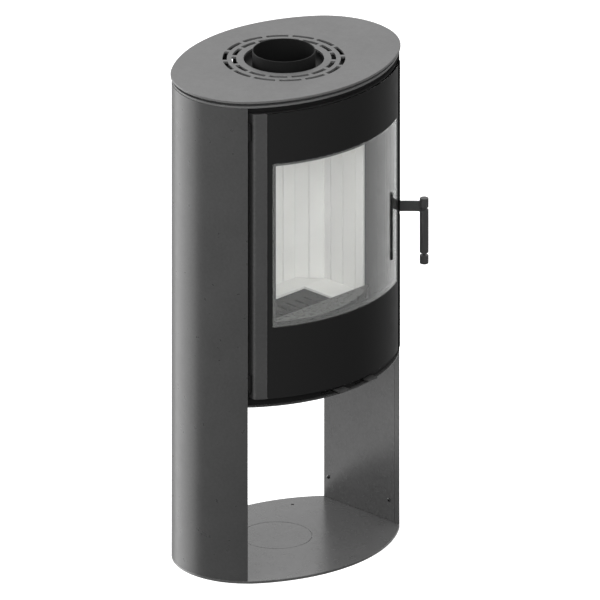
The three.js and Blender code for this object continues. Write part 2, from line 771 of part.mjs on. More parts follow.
// ---------- hinges ----------
const HINGE_PIN = 2.5;
const KNUCKLE = 4.4; // outer radius
const KNUCKLE_HALF = 18; // half its height
const EYE_PLATE = { from: 19, to: 25, leg: 22 }; // bracket plate, beyond the end of the knuckle
const PIN_HALF = 10;
const HINGES = [
  ["upper", 1150, 1],
  ["lower", 514, -1],
];
for (const [place, z, way] of HINGES) {
  const knuckle = [
    ...arc(HINGE.x, HINGE.y, KNUCKLE, Math.PI / 2, (3 * Math.PI) / 2, 8),
    v2(-DOOR_HALF_WIDTH - GAP, HINGE.y - KNUCKLE),
    v2(-DOOR_HALF_WIDTH - GAP, HINGE.y + KNUCKLE),
  ];
  const pinHole = circle(HINGE.x, HINGE.y, HINGE_PIN + GAP, 16);
  const end = z + way * KNUCKLE_HALF;
  const pin = cylinder(HINGE.x, HINGE.y, HINGE_PIN, end - PIN_HALF, end + PIN_HALF);
  const barrel = prism(knuckle, z - KNUCKLE_HALF, z + KNUCKLE_HALF);
  add(place + "_hinge_pin", join(barrel, pin), STEEL);
  const eye = [
    ...arc(HINGE.x, HINGE.y, KNUCKLE, -Math.PI * 0.75, Math.PI * 0.4, 10),
    v2(HINGE.x + 1, HINGE.y + EYE_PLATE.leg),
    v2(-CHEEK_X + GAP, HINGE.y + EYE_PLATE.leg),
    v2(-CHEEK_X + GAP, HINGE.y + 4),
  ];
  const plate = [z + way * EYE_PLATE.from, z + way * EYE_PLATE.to].sort((a, b) => a - b);
  add(place + "_hinge_bracket", prism(eye, ...plate, [pinHole]), DARK);
}

// ---------- handle lever, latch and catch ----------
const EYE_Z = [816.4, 820.6];
const EYE_RADIUS = 7;
const HUB = 6;
const HOOK_Z = [818, 828];
const HOOK = { back: -99.5, front: -104, tip: 10, half: 2 };

// The lever's flat bar: a gentle curve in plan from the pivot to the grip.
function leverBar() {
  const curve = new THREE.QuadraticBezierCurve(
    v2(LATCH.x + 3, LATCH.y),
    v2(258, -136),
    v2(GRIP.x - 3, GRIP.y + 4),
  );
  const left = [];
  const right = [];
  const steps = 8;
  for (let i = 0; i <= steps; i++) {
    const p = curve.getPoint(i / steps);
    const t = curve.getTangent(i / steps);
    const n = v2(-t.y, t.x).multiplyScalar(SHEET);
    left.push(p.clone().add(n));
    right.push(p.clone().sub(n));
  }
  return [...right, ...left.reverse()];
}

const PIN_R = 3;
const CORE_Z = [683, 838];
add(
  "handle_arm",
  cut(
    join(
      prism(leverBar(), ...ARM_Z),
      prism(circle(LATCH.x, LATCH.y, HUB, 16), ...ARM_Z),
      prism(circle(GRIP.x, GRIP.y, EYE_RADIUS, 16), ...EYE_Z),
      prism(rectangle(LATCH.x - HOOK.half, LATCH.x + HOOK.half, LATCH.y, HOOK.back), ...HOOK_Z),
      prism(rectangle(LATCH.x - HOOK.tip, LATCH.x + HOOK.half, HOOK.front, HOOK.back), ...HOOK_Z),
    ),
    cylinder(LATCH.x, LATCH.y, PIN_R + GAP, 800, 850),
    cylinder(GRIP.x, GRIP.y, GRIP.core + GAP, 800, 850),
    cylinder(GRIP.x, GRIP.y, GRIP.radius + 0.6, EYE_Z[1], 850),
    cylinder(GRIP.x, GRIP.y, GRIP.radius + 0.6, 800, EYE_Z[0]),
  ),
  PAINT,
);
add("handle_core", cylinder(GRIP.x, GRIP.y, GRIP.core, ...CORE_Z, 12), DARK);

// A turned sleeve round the core; a cap's far end is closed.
const CAP_END = 6;
function sleeve(low, high, chamferLow, chamferHigh, closed = "neither") {
  const r = GRIP.radius;
  const bore = GRIP.core + GAP;
  const outside = [
    v2(r - chamferLow, low),
    v2(r, low + chamferLow),
    v2(r, high - chamferHigh),
    v2(r - chamferHigh, high),
  ];
  const inside = {
    neither: [v2(bore, high), v2(bore, low)],
    top: [v2(0, high), v2(0, high - CAP_END), v2(bore, high - CAP_END), v2(bore, low)],
    bottom: [v2(bore, high), v2(bore, low + CAP_END), v2(0, low + CAP_END), v2(0, low)],
  };
  const profile = [...outside, ...inside[closed], outside[0]];
  return new THREE.LatheGeometry(profile, 16).rotateX(Math.PI / 2).translate(GRIP.x, GRIP.y, 0);
}
add("handle_upper_cap", sleeve(821, 844.5, 0.6, 1.2, "top"), PAINT);
add("handle_grip", sleeve(705, 815.5, 1, 1), PAINT);
add("handle_lower_cap", sleeve(676.8, 698.5, 1.5, 0.6, "bottom"), PAINT);

add("handle_pivot_pin", cylinder(LATCH.x, LATCH.y, PIN_R, 800, 848, 12), STEEL);
const EAR = [
  ...arc(LATCH.x, LATCH.y, HUB, -0.2, Math.PI * 0.9, 8),
  v2(226, -131.5),
  v2(LATCH.x - 2, -129.5),
];
const earHole = [circle(LATCH.x, LATCH.y, PIN_R + GAP, 12)];
const EARS_Z = [[802.5, 807.5], [838, 843]];
add(
  "handle_bracket",
  join(
    ...EARS_Z.map((z) => prism(EAR, ...z, earHole)),
    block(222, 227.5, -131, -118, EARS_Z[0][0], EARS_Z[1][1]),
  ),
  DARK,
);
const CATCH = { x: 229, y: -107.5, r: 2.5, half: 4, low: 803, high: 843, leaf: 4, back: 2 };
const catchBlock = (front, low, high) =>
  block(CATCH.x - CATCH.half, CATCH.x + CATCH.half, front, FACE_FRONT, low, high);
add(
  "latch_catch",
  join(
    cylinder(CATCH.x, CATCH.y, CATCH.r, CATCH.low, CATCH.high, 12),
    catchBlock(CATCH.y - CATCH.half, CATCH.low, CATCH.low + CATCH.leaf),
    catchBlock(CATCH.y - CATCH.half, CATCH.high - CATCH.leaf, CATCH.high),
    catchBlock(FACE_FRONT - CATCH.back, CATCH.low, CATCH.high),
  ),
  STEEL,
);

export default stove;
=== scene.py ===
"""Wood burning stove: oval steel body, curved glass door, fire-brick lining, open log store."""

import math

import bmesh
import bpy
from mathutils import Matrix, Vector
from mathutils.geometry import tessellate_polygon


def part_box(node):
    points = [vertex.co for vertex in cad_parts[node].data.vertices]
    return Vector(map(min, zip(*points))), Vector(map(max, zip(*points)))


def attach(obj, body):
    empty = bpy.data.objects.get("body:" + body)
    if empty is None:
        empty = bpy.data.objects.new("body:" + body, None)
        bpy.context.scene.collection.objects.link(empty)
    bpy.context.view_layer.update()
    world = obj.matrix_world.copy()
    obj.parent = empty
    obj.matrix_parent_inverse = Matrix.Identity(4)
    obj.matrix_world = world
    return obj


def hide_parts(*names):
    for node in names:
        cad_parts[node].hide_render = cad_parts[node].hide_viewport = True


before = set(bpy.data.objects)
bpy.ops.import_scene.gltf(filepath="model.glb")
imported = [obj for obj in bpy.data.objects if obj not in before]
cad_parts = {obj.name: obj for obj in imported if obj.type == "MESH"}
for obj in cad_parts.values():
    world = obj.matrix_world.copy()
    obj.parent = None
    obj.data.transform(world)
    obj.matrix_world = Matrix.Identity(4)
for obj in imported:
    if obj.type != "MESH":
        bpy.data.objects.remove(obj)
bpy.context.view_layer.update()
MM = 0.001
TURN = 2 * math.pi


def low(node, axis):
    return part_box(node)[0][axis] / MM


def high(node, axis):
    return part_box(node)[1][axis] / MM


# ---------- the oval that the whole stove follows (millimetres) ----------
HALF_LENGTH = high("top_plate", 0)
HALF_DEPTH = high("top_plate", 1)
END_RADIUS = 181.5
END_X = HALF_LENGTH - END_RADIUS
SIDE_RADIUS = (END_X ** 2 + HALF_DEPTH ** 2 - END_RADIUS ** 2) / (2 * (HALF_DEPTH - END_RADIUS))
SIDE_Y = SIDE_RADIUS - HALF_DEPTH
JOIN_ANGLE = math.atan2(SIDE_Y, END_X)
BODY_INSET = 2.6
BASE_INSET = 2.6
DOOR_INSET = 0
GLASS_REAR = 4
SHEET = 2.5
GAP = 0.3
CHEEK_X = high("right_front_cheek_screw", 0) - 8


def arc(cx, cy, r, start, end, steps):
    points = []
    for i in range(steps + 1):
        a = start + (end - start) * i / steps
        points.append(Vector((cx + r * math.cos(a), cy + r * math.sin(a))))
    return points


def clean(points):
    kept = []
    for p in points:
        if not kept or (kept[-1] - p).length > 0.02:
            kept.append(p)
    if (kept[0] - kept[-1]).length < 0.02:
        kept.pop()
    return kept


def oval(inset, steps=44):
    end = END_RADIUS - inset
    side = SIDE_RADIUS - inset
    return clean(
        arc(END_X, 0, end, -JOIN_ANGLE, JOIN_ANGLE, steps)
        + arc(0, -SIDE_Y, side, JOIN_ANGLE, math.pi - JOIN_ANGLE, steps)
        + arc(-END_X, 0, end, math.pi - JOIN_ANGLE, math.pi + JOIN_ANGLE, steps)
        + arc(0, SIDE_Y, side, math.pi + JOIN_ANGLE, TURN - JOIN_ANGLE, steps)
    )


def depth_at(x, inset):
    side = SIDE_RADIUS - inset
    end = END_RADIUS - inset
    if abs(x) <= side * math.cos(JOIN_ANGLE):
        return math.sqrt(side ** 2 - x ** 2) - SIDE_Y
    return math.sqrt(max(0, end ** 2 - (abs(x) - END_X) ** 2))


def edge(x0, x1, inset, steps, sign=-1):
    return [
        Vector((x, sign * depth_at(x, inset)))
        for x in (x0 + (x1 - x0) * i / steps for i in range(steps + 1))
    ]


def band(x0, x1, outer, inner, steps):
    return edge(x0, x1, outer, steps) + edge(x0, x1, inner, steps)[::-1]


def circle(x, y, r, steps=96):
    return clean(arc(x, y, r, 0, TURN, steps))


def rectangle(x0, x1, y0, y1):
    return [Vector((x0, y0)), Vector((x1, y0)), Vector((x1, y1)), Vector((x0, y1))]


def area(loop):
    return sum(a.x * b.y - b.x * a.y for a, b in zip(loop, loop[1:] + loop[:1])) / 2


def soften(loop, radius, steps=4, closed=True, sharp=0.35):
    """Rounds each real corner of an outline; the small turns inside an arc are left as they are."""
    out = []
    count = len(loop)
    for i, here in enumerate(loop):
        if not closed and i in (0, count - 1):
            out.append(here)
            continue
        before, after = loop[i - 1], loop[(i + 1) % count]
        a, b = before - here, after - here
        if a.angle(b, math.pi) > math.pi - sharp:
            out.append(here)
            continue
        start = here + a.normalized() * min(radius, a.length * 0.45)
        end = here + b.normalized() * min(radius, b.length * 0.45)
        for j in range(steps + 1):
            t = j / steps
            out.append(start * (1 - t) ** 2 + here * 2 * t * (1 - t) + end * t ** 2)
    return out


def slot_loop(x0, x1, y0, y1, steps=6):
    """A slot with round ends, along its longer side."""
    if x1 - x0 >= y1 - y0:
        r, y = (y1 - y0) / 2, (y0 + y1) / 2
        return clean(
            arc(x1 - r, y, r, -math.pi / 2, math.pi / 2, steps) + arc(x0 + r, y, r, math.pi / 2, 1.5 * math.pi, steps)
        )
    r, x = (x1 - x0) / 2, (x0 + x1) / 2
    return clean(arc(x, y1 - r, r, 0, math.pi, steps) + arc(x, y0 + r, r, math.pi, TURN, steps))


# ---------- meshes ----------
def shifted(loop, distance):
    """The loop moved to its left: into the material for a counter-clockwise outline or a clockwise hole."""
    moved = []
    for i, here in enumerate(loop):
        a = (here - loop[i - 1]).normalized()
        b = (loop[(i + 1) % len(loop)] - here).normalized()
        miter = Vector((-a.y - b.y, a.x + b.x))
        miter *= min(2 / max(miter.length_squared, 1e-6), 2.2)
        moved.append(here + miter * distance)
    return moved


def slab_mesh(loops, z0, z1, bevel, rounds=3, place=None, cuts=()):
    """A plate of any outline with holes: its edges are rounded, and place may bend it into its final shape."""
    work = bmesh.new()
    loops = [loop if (area(loop) > 0) == (i == 0) else loop[::-1] for i, loop in enumerate(loops)]
    profile = []
    for j in range(rounds + 1):
        a = j / rounds * math.pi / 2
        profile.append((bevel * (1 - math.sin(a)), z0 + bevel * (1 - math.cos(a))))
    profile += [(offset, z0 + z1 - z) for offset, z in reversed(profile)]
    caps = [[], []]
    for loop in loops:
        rings = [[work.verts.new((p.x, p.y, z)) for p in shifted(loop, offset)] for offset, z in profile]
        for lower, upper in zip(rings, rings[1:]):
            for i in range(len(loop)):
                j = (i + 1) % len(loop)
                work.faces.new((lower[i], lower[j], upper[j], upper[i]))
        caps[0].append(rings[0])
        caps[1].append(rings[-1])
    for rings in caps:
        flat = [v for ring in rings for v in ring]
        for tri in tessellate_polygon([[v.co for v in ring] for ring in rings]):
            corners = [flat[k] for k in tri]
            if len(set(corners)) == 3 and work.faces.get(corners) is None:
                work.faces.new(corners)
    for x in cuts:
        everything = work.verts[:] + work.edges[:] + work.faces[:]
        bmesh.ops.bisect_plane(work, geom=everything, dist=1e-4, plane_co=(x, 0, 0), plane_no=(1, 0, 0))
    if place:
        for v in work.verts:
            v.co = place(v.co)
    bmesh.ops.recalc_face_normals(work, faces=work.faces[:])
    return work


def lathe_mesh(profile, x, y, segments=64, lean=None):
    """A turned part; lean may change a ring's radius round the axis, as in a hexagon socket."""
    work = bmesh.new()
    rings = []
    for r, z in profile:
        if r < 1e-4:
            rings.append([work.verts.new((x, y, z))])
            continue
        ring = []
        for i in range(segments):
            a = TURN * i / segments
            rr = lean(r, z, a) if lean else r
            ring.append(work.verts.new((x + rr * math.cos(a), y + rr * math.sin(a), z)))
        rings.append(ring)
    for lower, upper in zip(rings, rings[1:]):
        for i in range(segments):
            j = (i + 1) % segments
            corners = [lower[i % len(lower)], lower[j % len(lower)], upper[j % len(upper)], upper[i % len(upper)]]
            corners = list(dict.fromkeys(corners))
            if len(corners) > 2:
                work.faces.new(corners)
    bmesh.ops.remove_doubles(work, verts=work.verts[:], dist=1e-4)
    bmesh.ops.recalc_face_normals(work, faces=work.faces[:])
    return work


def turned(points, radius, steps=3):
    """A lathe profile with its corners rounded."""
    return [(p.x, p.y) for p in soften([Vector(p) for p in points], radius, steps, closed=False, sharp=0.2)]


def merged(*works):
    total = bmesh.new()
    for work in works:
        mesh = bpy.data.meshes.new("part")
        work.to_mesh(mesh)
        work.free()
        total.from_mesh(mesh)
        bpy.data.meshes.remove(mesh)
    return total


def piece(name, work, material, body, nodes, angle=35, mirror=False):
    """Turns finished geometry into a named piece that rides on its body and stands for its CAD nodes."""
    for v in work.verts:
        v.co *= MM
        if mirror:
            v.co.x *= -1
    if mirror:
        bmesh.ops.reverse_faces(work, faces=work.faces[:])
    mesh = bpy.data.meshes.new(name)
    work.to_mesh(mesh)
    work.free()
    mesh.materials.append(material)
    mesh.shade_smooth()
    mesh.set_sharp_from_angle(angle=math.radians(angle))
    made = bpy.data.objects.new(name, mesh)
    bpy.context.scene.collection.objects.link(made)
    normals = made.modifiers.new("even normals", "WEIGHTED_NORMAL")
    normals.keep_sharp = True
    normals.weight = 80
    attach(made, body)
    if nodes:
        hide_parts(*nodes)
    return made


def slab(name, loops, z0, z1, bevel, material, body="stove", nodes=None, slot="satin_paint", **more):
    mirror = more.pop("mirror", False)
    work = slab_mesh(loops, z0, z1, bevel, **more)
    return piece(name, work, material, body, [nodes or name.replace("visual_", "")], mirror=mirror)


def curved_mesh(loops, outer, thick, bevel, sign=-1, step=9.0, rounds=2):
    """A sheet cut in the flat, its loops in x and z, bent round the oval at an inset."""
    xs = [p.x for p in loops[0]]
    first = math.ceil(min(xs) / step) * step
    cuts = [first + i * step for i in range(int((max(xs) - first) / step) + 1)]

    def bend(co):
        return Vector((co.x, sign * depth_at(co.x, outer + co.z), co.y))

    return slab_mesh(loops, 0, thick, bevel, rounds, bend, cuts)


# ---------- material kit ----------
class Shader:
    """A small helper for node trees: one Principled surface with procedural inputs."""

    def __init__(self, name, **sockets):
        self.material = bpy.data.materials.new(name)
        self.material.use_nodes = True
        self.nodes = self.material.node_tree.nodes
        self.links = self.material.node_tree.links
        self.surface = self.nodes["Principled BSDF"]
        self.out = self.nodes["Material Output"]
        self.place = self.nodes.new("ShaderNodeTexCoord").outputs["Object"]
        for key, value in sockets.items():
            self.surface.inputs[key.replace("_", " ")].default_value = value

    def node(self, kind, inputs=None, **settings):
        made = self.nodes.new(kind)
        for key, value in settings.items():
            setattr(made, key, value)
        for key, value in (inputs or {}).items():
            if isinstance(value, bpy.types.NodeSocket):
                self.links.new(value, made.inputs[key])
            else:
                made.inputs[key].default_value = value
        return made

    def noise(self, scale, detail=4.0, rough=0.55, stretch=None):
        where = self.place
        if stretch:
            where = self.node("ShaderNodeMapping", {"Vector": where, "Scale": stretch}).outputs[0]
        made = self.node("ShaderNodeTexNoise", {"Vector": where, "Scale": scale, "Detail": detail, "Roughness": rough})
        return made.outputs["Fac"]

    def spread(self, source, to_low, to_high, from_low=0.3, from_high=0.7):
        keys = {"Value": source, "From Min": from_low, "From Max": from_high, "To Min": to_low, "To Max": to_high}
        return self.node("ShaderNodeMapRange", keys).outputs[0]

    def mix(self, factor, a, b):
        made = self.node("ShaderNodeMix", data_type="RGBA")
        for socket, value in ((made.inputs[0], factor), (made.inputs[6], a), (made.inputs[7], b)):
            if isinstance(value, bpy.types.NodeSocket):
                self.links.new(value, socket)
            else:
                socket.default_value = value
        return made.outputs[2]

    def set(self, key, source):
        self.links.new(source, self.surface.inputs[key])

    def bump(self, source, strength, distance, after=None):
        keys = {"Height": source, "Strength": strength, "Distance": distance}
        if after:
            keys["Normal"] = after
        made = self.node("ShaderNodeBump", keys)
        self.set("Normal", made.outputs[0])
        return made.outputs[0]

    def edges(self, from_low=0.505, from_high=0.58):
        shape = self.node("ShaderNodeNewGeometry").outputs["Pointiness"]
        return self.spread(shape, 0, 1, from_low, from_high)


def grey(value, warm=0.0):
    return (value * (1 + warm), value, value * (1 - warm), 1)


def paint(name, base, rough, specular=0.5, edge_highlight=0.35, grain=0.05):
    """Heat-proof stove paint: a fine sprayed grain, soft patches of sheen and a painted highlight that makes its edges
    a little lighter.
    """
    s = Shader(name, Specular_IOR_Level=specular)
    patches = s.noise(7, 3)
    body = s.mix(s.spread(patches, 0, 1), grey(base * 0.93), grey(base * 1.07))
    # painted highlight: convex edges found by pointiness, broken up by noise, are lightened towards 2.6 times the base
    # colour
    painted_edge_highlight = s.node("ShaderNodeMath", {0: s.edges(), 1: s.spread(s.noise(160, 3), 0, edge_highlight)}, operation="MULTIPLY")
    s.set("Base Color", s.mix(painted_edge_highlight.outputs[0], body, grey(base * 2.6)))
    fine = s.noise(2600, 2, 0.6)
    s.set("Roughness", s.spread(s.noise(38, 5), rough - 0.03, rough + 0.03))
    s.bump(fine, grain, 0.0003)
    return s.material


def brick():
    """Cream vermiculite board: pressed flakes, faint cloudiness and a dusty bump."""
    s = Shader("vermiculite_board", Roughness=0.95, Specular_IOR_Level=0.12)
    cloud = s.mix(s.spread(s.noise(14, 3), 0, 1), (0.77, 0.762, 0.752, 1), (0.82, 0.811, 0.802, 1))
    flakes = s.node("ShaderNodeTexVoronoi", {"Vector": s.place, "Scale": 420.0, "Randomness": 1.0})
    shade = s.spread(flakes.outputs["Distance"], 0.0, 0.28, 0.35, 0.75)
    speck = s.mix(shade, cloud, (0.68, 0.665, 0.645, 1))
    s.set("Base Color", speck)
    first = s.bump(flakes.outputs["Distance"], 0.12, 0.0006)
    s.bump(s.noise(900, 5, 0.7), 0.15, 0.0005, first)
    return s.material


def cast_iron(name, base, rough=0.62):
    s = Shader(name, Metallic=0.35, Specular_IOR_Level=0.4)
    s.set("Base Color", s.mix(s.spread(s.noise(30, 6), 0, 1), grey(base * 0.8), grey(base * 1.15, 0.02)))
    s.set("Roughness", s.spread(s.noise(90, 4), rough - 0.08, rough + 0.1))
    first = s.bump(s.noise(420, 6, 0.7), 0.3, 0.0006)
    s.bump(s.noise(60, 3), 0.15, 0.001, first)
    return s.material


def steel(name, base=0.5, rough=0.32):
    """Turned or bright steel with fine tool lines round its axis."""
    s = Shader(name, Metallic=1.0)
    lines = s.noise(40, 3, 0.5, (1, 1, 60))
    s.set("Base Color", s.mix(s.spread(s.noise(60, 4), 0, 1), grey(base * 0.85), grey(base * 1.1)))
    s.set("Roughness", s.spread(lines, rough - 0.08, rough + 0.12))
    s.bump(lines, 0.12, 0.0001)
    return s.material


def zinc():
    """Galvanised sheet with its broad crystal spangle."""
    s = Shader("galvanised_sheet", Metallic=0.9)
    grain = s.node("ShaderNodeTexVoronoi", {"Vector": s.place, "Scale": 70.0})
    tone = s.node("ShaderNodeSeparateColor", {0: grain.outputs["Color"]}).outputs[0]
    s.set("Base Color", s.mix(tone, grey(0.36), grey(0.52)))
    s.set("Roughness", s.spread(tone, 0.38, 0.55, 0, 1))
    s.bump(s.noise(200, 3), 0.08, 0.0002)
    return s.material


def rope_material():
    """Braided glass-fibre rope, blackened by soot."""
    s = Shader("glass_fibre_rope", Roughness=0.95, Specular_IOR_Level=0.15)
    strands = s.noise(1500, 3, 0.6, (1, 1, 0.3))
    s.set("Base Color", s.mix(s.spread(strands, 0, 1), grey(0.018), grey(0.07, 0.03)))
    s.bump(strands, 0.6, 0.0006)
    return s.material


def clear_glass():
    """Ceramic glass: mirrors the room, lets lamps through, with a faint unevenness in its polish."""
    s = Shader("ceramic_glass", Roughness=0.0, IOR=1.5, Base_Color=(0.97, 0.98, 0.97, 1))
    s.surface.inputs["Transmission Weight"].default_value = 1.0
    s.set("Roughness", s.spread(s.noise(5, 2), 0.0, 0.012))
    see_through = s.node("ShaderNodeBsdfTransparent", {"Color": (0.9, 0.91, 0.9, 1)})
    shadow = s.node("ShaderNodeLightPath").outputs["Is Shadow Ray"]
    both = s.node("ShaderNodeMixShader", {0: shadow, 1: s.surface.outputs[0], 2: see_through.outputs[0]})
    s.links.new(both.outputs[0], s.out.inputs[0])
    return s.material


def enamel():
    """Black printed border of the glass."""
    s = Shader("printed_enamel", Specular_IOR_Level=0.035)
    s.set("Base Color", s.mix(s.spread(s.noise(900, 2), 0, 1), grey(0.0155), grey(0.0185)))
    s.set("Roughness", s.spread(s.noise(24, 3), 0.3, 0.36))
    s.bump(s.noise(3000, 2), 0.02, 0.0001)
    return s.material


PAINT = paint("satin_stove_paint", 0.053, 0.3, grain=0.008)
# painted light: the top, under and base plates get the stove paint about twice and one and a half times as light,
# standing in for the bright room these flat plates reflect
LIT_PLATE_PAINT = paint("top_plate_paint", 0.105, 0.42, grain=0.01)
LIT_BASE_PAINT = paint("base_plate_paint", 0.085, 0.26, 0.8, grain=0.01)
CHEEK_PAINT = paint("cheek_paint", 0.05, 0.26, grain=0.008)
STRIP_PAINT = paint("door_strip_paint", 0.051, 0.4, grain=0.01)
# painted shade: the right door strip gets a near-black, dull paint with no specular, so it reads as the shadowed gap at
# the door's right edge instead of the steel of its left twin
STRIP_PAINTED_SHADE = paint("right_strip_painted_shade", 0.005, 0.8, 0.0, 0.1)
DARK = paint("matt_black_paint", 0.007, 0.55, 0.3, 0.2)
FRAME_PAINT = paint("door_frame_paint", 0.02, 0.5, 0.3)
HANDLE_PAINT = paint("handle_paint", 0.048, 0.36, grain=0.02)
THROAT_PAINT = paint("firebox_paint", 0.03, 0.55, 0.3)
BRICK = brick()
IRON = cast_iron("cast_iron_grate", 0.034)
SHELF_IRON = cast_iron("ash_shelf_plate", 0.085, 0.3)
STEEL = steel("turned_steel")
SCREW_STEEL = steel("blackened_screw", 0.16, 0.4)
ZINC = zinc()
ROPE = rope_material()
GLASS = clear_glass()
ENAMEL = enamel()

# ---------- camera, lights, room ----------
AIM = Vector((0.0243, -0.0243, 0.6163))
AZIMUTH = math.radians(-45)
ELEVATION = math.radians(22.15)
back = Vector((
    math.sin(AZIMUTH) * math.cos(ELEVATION),
    -math.cos(AZIMUTH) * math.cos(ELEVATION),
    math.sin(ELEVATION),
))
camera_data = bpy.data.cameras.new("camera")
camera_data.type = "ORTHO"
camera_data.ortho_scale = 1.4218
camera = bpy.data.objects.new("camera", camera_data)
bpy.context.scene.collection.objects.link(camera)
camera.location = AIM + back * 4
camera.rotation_mode = "QUATERNION"
camera.rotation_quaternion = (-back).to_track_quat("-Z", "Y")
bpy.context.scene.camera = camera
bpy.context.scene.view_settings.view_transform = "Standard"


def area_light(name, place, target, size, power, hidden=True):
    data = bpy.data.lights.new(name, "AREA")
    data.shape = "DISK"
    data.size = size
    data.energy = power
    lamp = bpy.data.objects.new(name, data)
    bpy.context.scene.collection.objects.link(lamp)
    lamp.location = place
    lamp.rotation_mode = "QUATERNION"
    lamp.rotation_quaternion = (Vector(target) - Vector(place)).to_track_quat("-Z", "Y")
    lamp.visible_glossy = not hidden
    return lamp


area_light("key", (-1.9, -3.2, 3.0), (0, 0, 0.75), 2.2, 78)
area_light("fill", (-3.6, 0.2, 1.6), (0, 0, 0.6), 2.0, 40)
area_light("top_light", (0.3, 0.2, 3.6), (0, 0, 1.0), 2.4, 34)
area_light("front_light", (-2.9, -1.7, 1.9), (0.1, 0, 0.86), 1.4, 24)

world = bpy.data.worlds.new("studio")
bpy.context.scene.world = world
world.use_nodes = True
wn, wl = world.node_tree.nodes, world.node_tree.links
wn.clear()
sky = wn.new("ShaderNodeTexCoord")
toward = wn.new("ShaderNodeVectorMath")
toward.operation = "DOT_PRODUCT"
toward.inputs[1].default_value = (0.66, 0.75, 0.0)
wl.new(sky.outputs["Generated"], toward.inputs[0])
ramp = wn.new("ShaderNodeMapRange")
ramp.interpolation_type = "SMOOTHSTEP"
ramp.inputs["From Min"].default_value = 0.0
ramp.inputs["From Max"].default_value = 0.45
ramp.inputs["To Min"].default_value = 0.14
ramp.inputs["To Max"].default_value = 0.72
wl.new(toward.outputs["Value"], ramp.inputs["Value"])
beside = wn.new("ShaderNodeVectorMath")
beside.operation = "DOT_PRODUCT"
beside.inputs[1].default_value = (-0.36, 0.93, 0.0)
wl.new(sky.outputs["Generated"], beside.inputs[0])
panel = wn.new("ShaderNodeMapRange")
panel.interpolation_type = "SMOOTHSTEP"
panel.inputs["From Min"].default_value = 0.76
panel.inputs["From Max"].default_value = 0.86
panel.inputs["To Min"].default_value = 0.0
panel.inputs["To Max"].default_value = 2.5
wl.new(beside.outputs["Value"], panel.inputs["Value"])
height = wn.new("ShaderNodeSeparateXYZ")
wl.new(sky.outputs["Generated"], height.inputs[0])
ceiling = wn.new("ShaderNodeMapRange")
ceiling.interpolation_type = "SMOOTHSTEP"
ceiling.inputs["From Min"].default_value = 0.12
ceiling.inputs["From Max"].default_value = 0.34
ceiling.inputs["To Min"].default_value = 0.0
ceiling.inputs["To Max"].default_value = 0.58
wl.new(height.outputs["Z"], ceiling.inputs["Value"])
sides = wn.new("ShaderNodeMath")
wl.new(ramp.outputs[0], sides.inputs[0])
wl.new(panel.outputs[0], sides.inputs[1])
total = wn.new("ShaderNodeMath")
wl.new(sides.outputs[0], total.inputs[0])
wl.new(ceiling.outputs[0], total.inputs[1])
room = wn.new("ShaderNodeBackground")
wl.new(total.outputs[0], room.inputs["Strength"])
paper = wn.new("ShaderNodeBackground")
paper.inputs["Strength"].default_value = 1.0
paper.inputs["Color"].default_value = (1, 1, 1, 1)
path = wn.new("ShaderNodeLightPath")
choice = wn.new("ShaderNodeMixShader")
wl.new(path.outputs["Is Camera Ray"], choice.inputs[0])
wl.new(room.outputs[0], choice.inputs[1])
wl.new(paper.outputs[0], choice.inputs[2])
out = wn.new("ShaderNodeOutputWorld")
wl.new(choice.outputs[0], out.inputs[0])

floor_work = slab_mesh([circle(0, 0, 6000, 64)], -8, -0.4, 1)
for vert in floor_work.verts:
    vert.co *= MM
floor_mesh = bpy.data.meshes.new("studio_floor")
floor_work.to_mesh(floor_mesh)
floor_work.free()
floor_shade = Shader("pale_floor", Roughness=0.9, Specular_IOR_Level=0.1)
floor_shade.set("Base Color", floor_shade.mix(floor_shade.noise(3), grey(0.86), grey(0.9)))
floor_shade.surface.inputs["Emission Color"].default_value = (1, 1, 1, 1)
floor_shade.surface.inputs["Emission Strength"].default_value = 0.62
floor_mesh.materials.append(floor_shade.material)
floor = bpy.data.objects.new("studio_floor", floor_mesh)
bpy.context.scene.collection.objects.link(floor)
floor.visible_glossy = False
floor.visible_diffuse = False

# ---------- base ----------
COVER_R = high("air_inlet_cover", 0)
COVER_Y = (low("air_inlet_cover", 1) + high("air_inlet_cover", 1)) / 2
BASE_TOP = high("base_plate", 2)
base_holes = [circle(0, COVER_Y, COVER_R + 0.8)] + [circle(x, 140, 4, 32) for x in (-164, 164)]
slab("base_plate_visual", [oval(BASE_INSET)] + base_holes, 0, BASE_TOP, 0.7, LIT_BASE_PAINT, nodes="base_plate")
slab("inlet_cover_visual", [circle(0, COVER_Y, COVER_R)], 0, BASE_TOP - 0.1, 0.5, LIT_BASE_PAINT, nodes="air_inlet_cover")

# ---------- side columns ----------
COLUMN_LOW = low("right_side_shell", 2)
COLUMN_TOP = high("right_side_shell", 2)
FRONT_RETURN = 17


def shell_section():
    outer = END_RADIUS - BODY_INSET
    inner = outer - SHEET
    rear_x = CHEEK_X + SHEET + GAP

    def at(x, r):
        return math.acos((x - END_X) / r)

    front_y = -depth_at(CHEEK_X, BODY_INSET)
    points = arc(END_X, 0, outer, -at(CHEEK_X, outer), at(rear_x, outer), 72)
    points += [Vector((rear_x, 100)), Vector((rear_x + SHEET, 100))]
    points += arc(END_X, 0, inner, at(rear_x + SHEET, inner), -at(CHEEK_X + SHEET, inner), 72)
    points += [Vector((CHEEK_X + SHEET, front_y + FRONT_RETURN)), Vector((CHEEK_X, front_y + FRONT_RETURN))]
    return soften(clean(points), 1.1, 4)


cheek_front = low("right_cheek_plate", 1)
cheek_rear = high("right_cheek_plate", 1)
SCREW_Z = (low("right_front_cheek_screw", 2) + high("right_front_cheek_screw", 2)) / 2


def socket_head(r, z, a):
    """The rings inside the head's rim are a hexagon."""
    if r > 2.6 or z > 1.9:
        return r
    return r * math.cos(math.pi / 6) / math.cos((a % (math.pi / 3)) - math.pi / 6)


